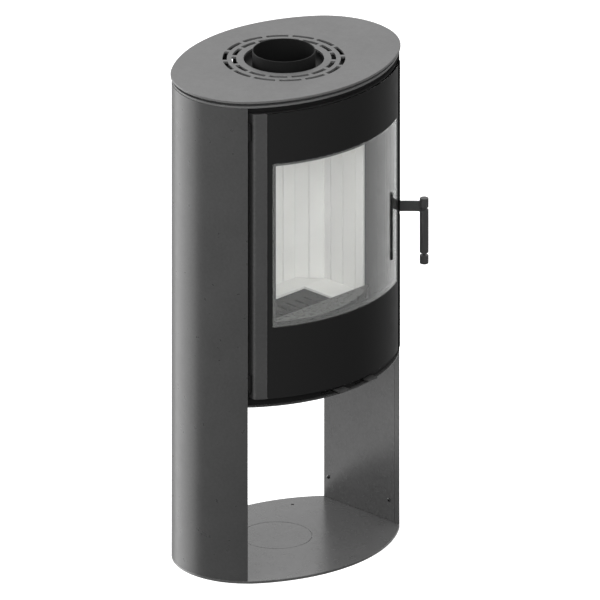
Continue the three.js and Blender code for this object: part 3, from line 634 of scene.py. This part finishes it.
for side, flip in (("right", False), ("left", True)):
    slab(
        side + "_shell_visual", [shell_section()], COLUMN_LOW, COLUMN_TOP, 0.5, PAINT,
        nodes=side + "_side_shell", mirror=flip,
    )
    slab(
        side + "_cheek_visual",
        [rectangle(CHEEK_X, CHEEK_X + SHEET, cheek_front, cheek_rear)],
        COLUMN_LOW, COLUMN_TOP, 0.5, CHEEK_PAINT, nodes=side + "_cheek_plate", mirror=flip,
    )
    for end in ("front", "rear"):
        node = side + "_" + end + "_cheek_screw"
        y = (low(node, 1) + high(node, 1)) / 2
        head = [(0, 1.5), (2.45, 1.5), (2.5, -1.8), (2.75, -2.6), (3.3, -2.5), (4.2, -1.9), (4.6, -1.1), (4.6, -GAP)]
        head += [(2.4, -GAP), (2.4, 7.6), (1.9, 8), (0, 8)]
        work = lathe_mesh(head, 0, 0, 48, socket_head)
        for vert in work.verts:
            vert.co = Vector((CHEEK_X + vert.co.z, y + vert.co.y, SCREW_Z + vert.co.x))
        bmesh.ops.recalc_face_normals(work, faces=work.faces[:])
        piece(node + "_visual", work, SCREW_STEEL, "stove", [node], mirror=flip)

# ---------- body: floor, rear panel ----------
STORE_TOP = low("body_floor", 2)
FLOOR_TOP = high("body_floor", 2)
floor_edge = edge(-(CHEEK_X - GAP), CHEEK_X - GAP, 3, 96) + edge(-(CHEEK_X - GAP), CHEEK_X - GAP, 7, 64, 1)[::-1]
LEVER_TRAVEL = 35
levers = {}
for node in ("primary_air_slide", "secondary_air_slide"):
    levers[node] = (low(node, 0) + high(node, 0)) / 2
ports = []
for x in levers.values():
    ports.append(soften(rectangle(x - LEVER_TRAVEL - 14, x - LEVER_TRAVEL + 14, -172, -128), 4))
slab("body_floor_visual", [floor_edge] + ports, STORE_TOP, FLOOR_TOP, 0.6, CHEEK_PAINT, nodes="body_floor")

rear_low, rear_high = low("rear_panel", 2), high("rear_panel", 2)
vents = [slot_loop(i * 34 - 4, i * 34 + 4, z, z + 60) for z in (520, 1110) for i in range(-4, 5)]
work = curved_mesh([rectangle(-250, 250, rear_low, rear_high)] + vents, 7, SHEET, 0.5, 1)
piece("rear_panel_visual", work, PAINT, "stove", ["rear_panel"])

# ---------- top ----------
FLUE_X, FLUE_Y = 0, 5.5
SLOT_COUNT = 14


def ring_slots(inner, outer, gap, turn):
    loops = []
    pitch = TURN / SLOT_COUNT
    half = pitch / 2 - gap / (inner + outer)
    for i in range(SLOT_COUNT):
        a = (i + turn) * pitch
        loop = arc(FLUE_X, FLUE_Y, outer, a - half, a + half, 14) + arc(FLUE_X, FLUE_Y, inner, a + half, a - half, 14)
        loops.append(soften(loop, 3.2, 5))
    return loops


TOP_LOW, TOP_HIGH = low("top_plate", 2), high("top_plate", 2)
top_loops = [oval(0), circle(FLUE_X, FLUE_Y, 95.5)]
top_loops += ring_slots(135.2, 145.6, 10, 0) + ring_slots(113, 124, 10, 0.5)
slab("top_plate_visual", top_loops, TOP_LOW, TOP_HIGH, 0.8, LIT_PLATE_PAINT, nodes="top_plate")
slab(
    "under_plate_visual", [oval(BODY_INSET + 0.8), circle(FLUE_X, FLUE_Y, 160)],
    low("under_plate", 2), high("under_plate", 2), 0.8, LIT_PLATE_PAINT, nodes="under_plate", slot="dark_paint",
)
slab(
    "top_spacer_visual", [oval(BODY_INSET + 17), oval(BODY_INSET + 29)],
    low("top_spacer", 2), high("top_spacer", 2), 0.4, DARK, nodes="top_spacer", slot="dark_paint",
)
collar_low, collar_high = low("flue_collar", 2), high("flue_collar", 2)
collar = [
    (72.7, 1190), (72.7, collar_low), (75, collar_low), (75, 1213), (112, 1213), (112, 1216), (75, 1216),
    (75, collar_high), (72.7, collar_high), (72.7, 1190),
]
piece(
    "flue_collar_visual", lathe_mesh(turned(collar, 0.8), FLUE_X, FLUE_Y, 128), DARK, "stove", ["flue_collar"],
)

# ---------- fire bricks ----------
GROOVE_HALF, GROOVE_DEEP = 1.5, 3
LINER_LOW, LINER_HIGH = low("back_brick", 2), high("back_brick", 2)
LINER_X = low("right_side_brick", 0)
LINER_OUT = high("right_side_brick", 0)
LINER_BACK = low("back_brick", 1)
LINER_REAR = high("back_brick", 1)
LINER_FRONT = low("right_side_brick", 1)
CORNER_X = high("back_brick", 0) + GAP
CORNER_Y = high("right_side_brick", 1) + GAP


def grooved(a, b, places):
    """A straight brick face from a to b with square grooves cut to its right at these distances."""
    along = (b - a).normalized()
    into = Vector((along.y, -along.x))
    points = [a]
    for s in places:
        points.append(a + along * (s - GROOVE_HALF))
        points.append(a + along * (s - GROOVE_HALF + 0.5) + into * GROOVE_DEEP)
        points.append(a + along * (s + GROOVE_HALF - 0.5) + into * GROOVE_DEEP)
        points.append(a + along * (s + GROOVE_HALF))
    return points + [b]


def even(length, count):
    return [length * i / (count + 1) for i in range(1, count + 1)]


a, b = Vector((CORNER_X - GAP, LINER_BACK)), Vector((-CORNER_X + GAP, LINER_BACK))
face = grooved(a, b, even((b - a).length, 5))
back_loop = face + [Vector((-CORNER_X + GAP, LINER_REAR)), Vector((CORNER_X - GAP, LINER_REAR))]
slab("back_brick_visual", [back_loop], LINER_LOW, LINER_HIGH, 0.7, BRICK, nodes="back_brick", slot="fire_brick")

HEARTH_TOP = high("front_hearth_brick", 2)
GRATE_X = high("grate", 0)
GRATE_FRONT, GRATE_BACK = low("grate", 1) - 0.5, high("grate", 1) + 0.5
for side, flip in (("right", False), ("left", True)):
    a, b = Vector((LINER_X - 6, CORNER_Y + GAP)), Vector((CORNER_X + GAP, LINER_BACK))
    loop = grooved(a, b, even((b - a).length, 1))
    loop += [Vector((CORNER_X + GAP, LINER_REAR)), Vector((LINER_OUT, LINER_REAR)), Vector((LINER_OUT, CORNER_Y + GAP))]
    slab(
        side + "_corner_brick_visual", [loop], LINER_LOW, LINER_HIGH, 0.7, BRICK,
        nodes=side + "_corner_brick", slot="fire_brick", mirror=flip,
    )
    a, b = Vector((LINER_X, LINER_FRONT)), Vector((LINER_X, CORNER_Y - GAP))
    length = (b - a).length
    loop = grooved(a, b, [length - 101, length - 60, length - 19])
    loop += [Vector((LINER_OUT, CORNER_Y - GAP)), Vector((LINER_OUT, LINER_FRONT))]
    slab(
        side + "_side_brick_visual", [loop], LINER_LOW, LINER_HIGH, 0.7, BRICK,
        nodes=side + "_side_brick", slot="fire_brick", mirror=flip,
    )
    hearth = [
        (GRATE_X + 0.8, GRATE_FRONT + GAP), (LINER_X - 0.5, GRATE_FRONT + GAP), (LINER_X - 0.5, CORNER_Y - 1),
        (LINER_X - 7, CORNER_Y - 1), (LINER_X - 10.5, GRATE_BACK), (GRATE_X + 0.8, GRATE_BACK),
    ]
    slab(
        side + "_hearth_visual", [[Vector(p) for p in hearth]], LINER_LOW, HEARTH_TOP, 0.7, BRICK,
        nodes=side + "_hearth_brick", slot="fire_brick", mirror=flip,
    )
front_hearth = rectangle(-LINER_X + 0.5, LINER_X - 0.5, LINER_FRONT + GAP, GRATE_FRONT - GAP)
slab("front_hearth_visual", [front_hearth], LINER_LOW, HEARTH_TOP, 0.7, BRICK, nodes="front_hearth_brick", slot="fire_brick")
rear_hearth = [
    (-LINER_X + 10.5, GRATE_BACK + 0.8), (LINER_X - 10.5, GRATE_BACK + 0.8),
    (CORNER_X - 1, LINER_BACK - GAP), (-CORNER_X + 1, LINER_BACK - GAP),
]
slab(
    "rear_hearth_visual", [[Vector(p) for p in rear_hearth]], LINER_LOW, HEARTH_TOP, 0.7, BRICK,
    nodes="rear_hearth_brick", slot="fire_brick",
)
grate_loops = [soften(rectangle(-GRATE_X, GRATE_X, GRATE_FRONT + 0.5, GRATE_BACK - 0.5), 3)]
for x in (-56, -28, 0, 28, 56):
    grate_loops.append(slot_loop(x - 3.5, x + 3.5, -66, -40))
    grate_loops.append(slot_loop(x - 3.5, x + 3.5, -34, -3))
slab("grate_visual", grate_loops, low("grate", 2), high("grate", 2), 1.2, IRON, nodes="grate", slot="cast_iron")

SHELF_X = high("ash_shelf", 0)
SHELF_INSET = 69.5
SHELF_REAR = high("ash_shelf", 1)
shelf = edge(-SHELF_X, SHELF_X, SHELF_INSET, 64) + [Vector((SHELF_X, SHELF_REAR)), Vector((-SHELF_X, SHELF_REAR))]
shelf_top = high("ash_shelf", 2)
work = merged(
    slab_mesh([soften(shelf, 2)], shelf_top - 3, shelf_top, 0.8),
    slab_mesh([band(-170, 170, SHELF_INSET, SHELF_INSET + 3, 64)], low("ash_shelf", 2), shelf_top - 2, 0.6),
)
piece("ash_shelf_visual", work, SHELF_IRON, "stove", ["ash_shelf"])

# ---------- door ----------
DOOR_LOW, DOOR_HIGH = low("door_glass", 2), high("door_glass", 2)
GLASS_X = 218.6
PRINT_THICK = 0.12
slab(
    "door_glass_visual", [band(-GLASS_X, GLASS_X, DOOR_INSET + PRINT_THICK + 0.02, DOOR_INSET + GLASS_REAR, 96)],
    DOOR_LOW, DOOR_HIGH, 0.5, GLASS, "door", nodes="door_glass", slot="door_glass",
)
PRINT_OPENING = soften(rectangle(-208.4, 208.4, 652, 1071), 1.5)
outline = rectangle(-GLASS_X + 0.4, GLASS_X - 0.4, DOOR_LOW + 0.4, DOOR_HIGH - 0.4)
work = curved_mesh([outline, PRINT_OPENING], DOOR_INSET, PRINT_THICK, 0.04, step=6, rounds=1)
piece("door_print", work, ENAMEL, "door", [])
slab(
    "left_door_strip_visual", [band(GLASS_X + 0.8, high("right_door_strip", 0), DOOR_INSET, 6.0, 16)],
    DOOR_LOW, DOOR_HIGH, 1.0, STRIP_PAINT, "door", nodes="left_door_strip", mirror=True,
)


def rope_ring(half_x, z_low, z_high, corner, inset, radius, strands, pitch):
    """Rope laid round the window: a rounded rectangle bent to the oval, with its strands twisted round it."""
    path_loop = []
    for cx, cz, start in (
        (half_x - corner, z_low + corner, -math.pi / 2),
        (half_x - corner, z_high - corner, 0),
        (-half_x + corner, z_high - corner, math.pi / 2),
        (-half_x + corner, z_low + corner, math.pi),
    ):
        path_loop += arc(cx, cz, corner, start, start + math.pi / 2, 8)
    path_loop = clean(path_loop)
    dense = []
    for p, q in zip(path_loop, path_loop[1:] + path_loop[:1]):
        count = max(1, round((q - p).length / 4))
        dense += [p.lerp(q, i / count) for i in range(count)]
    total = sum((q - p).length for p, q in zip(dense, dense[1:] + dense[:1]))
    turns = round(total / pitch)
    spots = [Vector((p.x, -depth_at(p.x, inset), p.y)) for p in dense]
    work = bmesh.new()
    rings = []
    walked = 0
    for i, here in enumerate(spots):
        ahead = (spots[(i + 1) % len(spots)] - spots[i - 1]).normalized()
        outward = Vector((here.x / SIDE_RADIUS, -math.sqrt(1 - (here.x / SIDE_RADIUS) ** 2), 0))
        across = ahead.cross(outward).normalized()
        outward = across.cross(ahead)
        twist = TURN * turns * walked / total
        ring = []
        for k in range(24):
            phi = TURN * k / 24
            r = radius * (0.86 + 0.14 * abs(math.cos(strands * (phi + twist) / 2)))
            ring.append(work.verts.new(here + (across * math.cos(phi) + outward * math.sin(phi)) * r))
        rings.append(ring)
        walked += (spots[(i + 1) % len(spots)] - here).length
    for first, second in zip(rings, rings[1:] + rings[:1]):
        for k in range(24):
            work.faces.new((first[k], first[(k + 1) % 24], second[(k + 1) % 24], second[k]))
    bmesh.ops.recalc_face_normals(work, faces=work.faces[:])
    return work


seal_low, seal_high = low("door_rope_seal", 2), high("door_rope_seal", 2)
work = rope_ring(213.4, seal_low + 6, seal_high - 6, 14, 27.5, 5.9, 6, 60)
piece("rope_seal_visual", work, ROPE, "door", ["door_rope_seal"], angle=80)

# ---------- handle ----------
GRIP_X = (low("handle_grip", 0) + high("handle_grip", 0)) / 2
GRIP_Y = (low("handle_grip", 1) + high("handle_grip", 1)) / 2
GRIP_R = (high("handle_grip", 0) - low("handle_grip", 0)) / 2
CORE_R = 4
LATCH_X, LATCH_Y = 236, -122
ARM_LOW, ARM_HIGH = low("handle_arm", 2), high("handle_arm", 2)


def bezier(a, b, c, t):
    return a * (1 - t) ** 2 + b * 2 * t * (1 - t) + c * t ** 2


def lever_bar():
    a, b, c = Vector((LATCH_X + 3, LATCH_Y)), Vector((258, -136)), Vector((GRIP_X - 3, GRIP_Y + 4))
    left, right = [], []
    steps = 28
    for i in range(steps + 1):
        t = i / steps
        ahead = ((b - a) * (1 - t) + (c - b) * t).normalized()
        side_step = Vector((-ahead.y, ahead.x)) * SHEET
        p = bezier(a, b, c, t)
        left.append(p + side_step)
        right.append(p - side_step)
    return right + left[::-1]


arm = merged(
    slab_mesh([lever_bar()], ARM_LOW, ARM_HIGH, 0.9),
    slab_mesh([circle(LATCH_X, LATCH_Y, 6, 40), circle(LATCH_X, LATCH_Y, 3.3, 24)], ARM_LOW, ARM_HIGH, 0.5),
    slab_mesh([circle(GRIP_X, GRIP_Y, 7, 40), circle(GRIP_X, GRIP_Y, 4.3, 24)], 816.4, 820.6, 0.5),
    slab_mesh([rectangle(LATCH_X - 2, LATCH_X + 2, LATCH_Y + 4, -99.5)], 818, 828, 0.4),
    slab_mesh([rectangle(LATCH_X - 10, LATCH_X + 2, -104, -99.5)], 818, 828, 0.4),
)
piece("handle_arm_visual", arm, HANDLE_PAINT, "handle", ["handle_arm"])


def sleeve(name, node, z_low, z_high, cut_low, cut_high):
    r, bore = GRIP_R, CORE_R + GAP
    points = [
        (bore, z_low + 3), (bore, z_low), (r - cut_low, z_low), (r, z_low + cut_low), (r, z_high - cut_high),
        (r - cut_high, z_high), (bore, z_high), (bore, z_low + 3),
    ]
    work = lathe_mesh(turned(points, 0.6), GRIP_X, GRIP_Y, 64)
    piece(name, work, HANDLE_PAINT, "handle", [node])


def cap(name, node, z_low, z_high, cut_low, cut_high, blind_top):
    r, bore = GRIP_R, CORE_R + GAP
    points = [(r - cut_low, z_low), (r, z_low + cut_low), (r, z_high - cut_high), (r - cut_high, z_high)]
    if blind_top:
        points = [(0, z_high - 6), (bore, z_high - 6), (bore, z_low)] + points + [(0, z_high)]
    else:
        points = [(0, z_low)] + points + [(bore, z_high), (bore, z_low + 6), (0, z_low + 6)]
    work = lathe_mesh(turned(points, 0.7), GRIP_X, GRIP_Y, 64)
    piece(name, work, HANDLE_PAINT, "handle", [node])


cap("upper_cap_visual", "handle_upper_cap", low("handle_upper_cap", 2), high("handle_upper_cap", 2), 0.6, 1.2, True)
sleeve("grip_visual", "handle_grip", low("handle_grip", 2), high("handle_grip", 2), 1, 1)
cap("lower_cap_visual", "handle_lower_cap", low("handle_lower_cap", 2), high("handle_lower_cap", 2), 1.5, 0.6, False)
core_low, core_high = low("handle_core", 2) + 0.2, high("handle_core", 2) - 0.2
core = [(0, core_low), (CORE_R, core_low), (CORE_R, core_high), (0, core_high)]
piece(
    "handle_core_visual", lathe_mesh(turned(core, 0.4), GRIP_X, GRIP_Y, 40), HANDLE_PAINT, "handle", ["handle_core"],
)


# ---------- CAD pieces that stay: rounded edges and finishes ----------
def smoothing_group():
    """Shades a piece smooth and keeps its real corners sharp."""
    group = bpy.data.node_groups.new("smooth_by_angle", "GeometryNodeTree")
    group.interface.new_socket("Geometry", in_out="INPUT", socket_type="NodeSocketGeometry")
    group.interface.new_socket("Geometry", in_out="OUTPUT", socket_type="NodeSocketGeometry")
    n, l = group.nodes, group.links
    start, end = n.new("NodeGroupInput"), n.new("NodeGroupOutput")
    faces, edges = n.new("GeometryNodeSetShadeSmooth"), n.new("GeometryNodeSetShadeSmooth")
    faces.domain, edges.domain = "FACE", "EDGE"
    angle = n.new("GeometryNodeInputMeshEdgeAngle")
    compare = n.new("FunctionNodeCompare")
    compare.data_type, compare.operation = "FLOAT", "LESS_THAN"
    compare.inputs[1].default_value = math.radians(35)
    l.new(angle.outputs[0], compare.inputs[0])
    l.new(start.outputs[0], faces.inputs[0])
    l.new(faces.outputs[0], edges.inputs[0])
    l.new(compare.outputs[0], edges.inputs["Shade Smooth"])
    l.new(edges.outputs[0], end.inputs[0])
    return group


SMOOTHING = smoothing_group()


def keep(node, material, bevel=0.4, segments=2):
    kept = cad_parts[node]
    weld = kept.modifiers.new("weld", "WELD")
    weld.merge_threshold = 1e-6
    if bevel:
        rounding = kept.modifiers.new("rounded edges", "BEVEL")
        rounding.width = bevel * MM
        rounding.segments = segments
        rounding.limit_method = "ANGLE"
        rounding.angle_limit = math.radians(40)
    shading = kept.modifiers.new("smooth by angle", "NODES")
    shading.node_group = SMOOTHING
    normals = kept.modifiers.new("even normals", "WEIGHTED_NORMAL")
    normals.keep_sharp = True
    normals.weight = 80
    if kept.material_slots:
        for each in kept.material_slots:
            each.material = material
    else:
        kept.data.materials.append(material)


KEPT = {
    "left_base_angle": DARK, "right_base_angle": DARK, "front_lip": DARK, "front_header": DARK,
    "firebox_shell": THROAT_PAINT, "firebox_roof": THROAT_PAINT, "firebox_face": THROAT_PAINT, "door_throat": THROAT_PAINT,
    "lower_baffle": BRICK, "upper_baffle": THROAT_PAINT, "ash_box": THROAT_PAINT, "ash_pan": ZINC,
    "air_box": DARK, "primary_air_slide": HANDLE_PAINT, "secondary_air_slide": HANDLE_PAINT,
    # the right door strip takes the painted shade of the gap beside the door
    "door_frame": FRAME_PAINT, "right_door_strip": STRIP_PAINTED_SHADE, "glass_gasket": ROPE,
    "upper_hinge_pin": DARK, "lower_hinge_pin": DARK, "upper_hinge_bracket": DARK, "lower_hinge_bracket": DARK,
    "handle_bracket": DARK, "handle_pivot_pin": STEEL, "latch_catch": STEEL,
}
for node, material in KEPT.items():
    keep(node, material)
